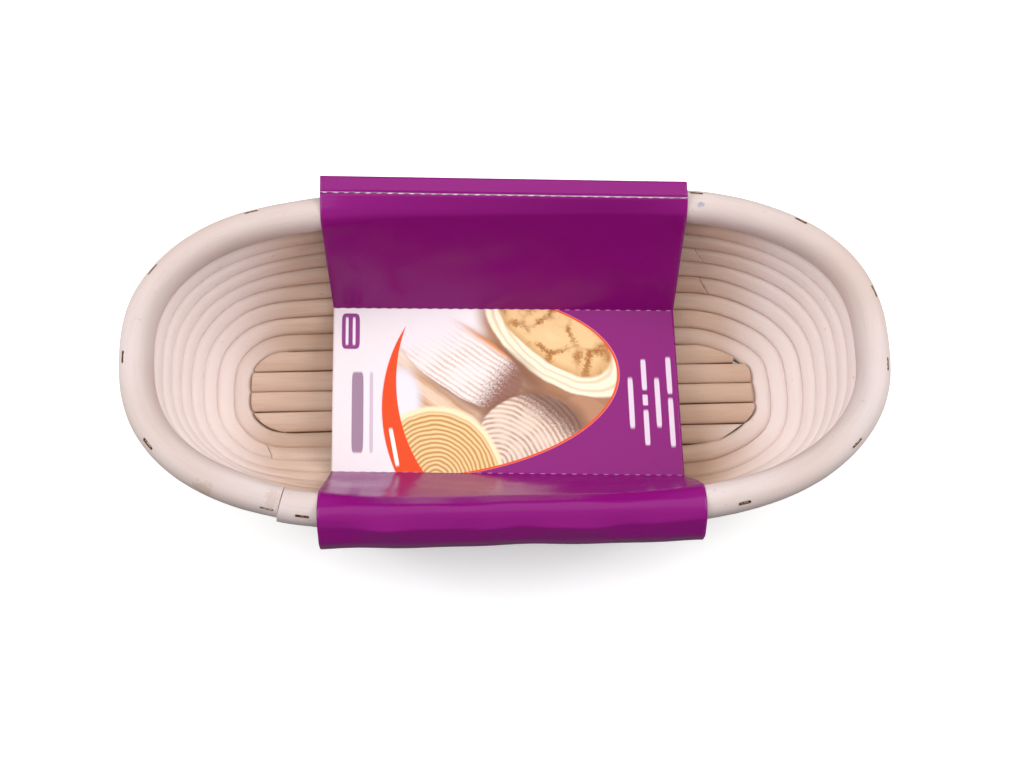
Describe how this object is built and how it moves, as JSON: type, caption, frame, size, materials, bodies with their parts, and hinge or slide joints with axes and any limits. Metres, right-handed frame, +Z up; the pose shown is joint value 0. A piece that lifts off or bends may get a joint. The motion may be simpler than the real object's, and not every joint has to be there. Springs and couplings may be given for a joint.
{
  "type": "proofing basket",
  "caption": "Oval proofing basket of coiled rattan cane with a thick stapled rim, standing in an open-topped printed card sleeve that folds over its rim and sits inside it.",
  "frame": {"origin": "on the underside of the card sleeve, below the middle of the basket's length and width", "axes": "+X along the basket's length, towards the end where the coil starts; +Y towards the perforated back crease of the sleeve; +Z up out of the basket's mouth"},
  "size_m": [0.2796, 0.1396, 0.0723],
  "materials": {
    "rattan": "raw split cane, dry and matte, with fine lengthwise fibre and a pale dusting",
    "rim_rattan": "peeled whole cane, matte, with fine grain, scrapes and dark specks",
    "slat_wood": "sawn strip, unfinished",
    "staple_steel": "dull bright wire",
    "printed_card": "coated board with glossy print on both sides and pale cut edges"
  },
  "bodies": {
    "basket": {"base_slat_1": "slat_wood", "base_slat_2": "slat_wood", "base_slat_3": "slat_wood", "coil_cane_1": "rattan", "coil_cane_2": "rattan", "coil_cane_3": "rattan", "coil_cane_4": "rattan", "floor_strip_1": "rattan", "floor_strip_2": "rattan", "floor_strip_3": "rattan", "floor_strip_4": "rattan", "rim_hoop": "rim_rattan", "rim_staple_01": "staple_steel", "rim_staple_02": "staple_steel", "rim_staple_03": "staple_steel", "rim_staple_04": "staple_steel", "rim_staple_05": "staple_steel", "rim_staple_06": "staple_steel", "rim_staple_07": "staple_steel", "rim_staple_08": "staple_steel", "rim_staple_09": "staple_steel", "rim_staple_10": "staple_steel", "rim_staple_11": "staple_steel", "rim_staple_12": "staple_steel", "rim_staple_13": "staple_steel", "rim_staple_14": "staple_steel", "rim_staple_15": "staple_steel", "rim_staple_16": "staple_steel", "rim_staple_17": "staple_steel", "slat_staple_01": "staple_steel", "slat_staple_02": "staple_steel", "slat_staple_03": "staple_steel", "slat_staple_04": "staple_steel", "slat_staple_05": "staple_steel", "slat_staple_06": "staple_steel", "slat_staple_07": "staple_steel", "slat_staple_08": "staple_steel", "slat_staple_09": "staple_steel", "slat_staple_10": "staple_steel", "slat_staple_11": "staple_steel", "slat_staple_12": "staple_steel", "sleeve_wrap": "printed_card"},
    "trough": {"sleeve_trough": "printed_card"}
  },
  "joints": [
    {"name": "trough_hinge", "type": "hinge", "parent": "basket", "child": "trough", "pos_m": [0, -0.05678, 0.06969], "axis": [1, 0, 0], "range_deg": [0, 100]}
  ]
}
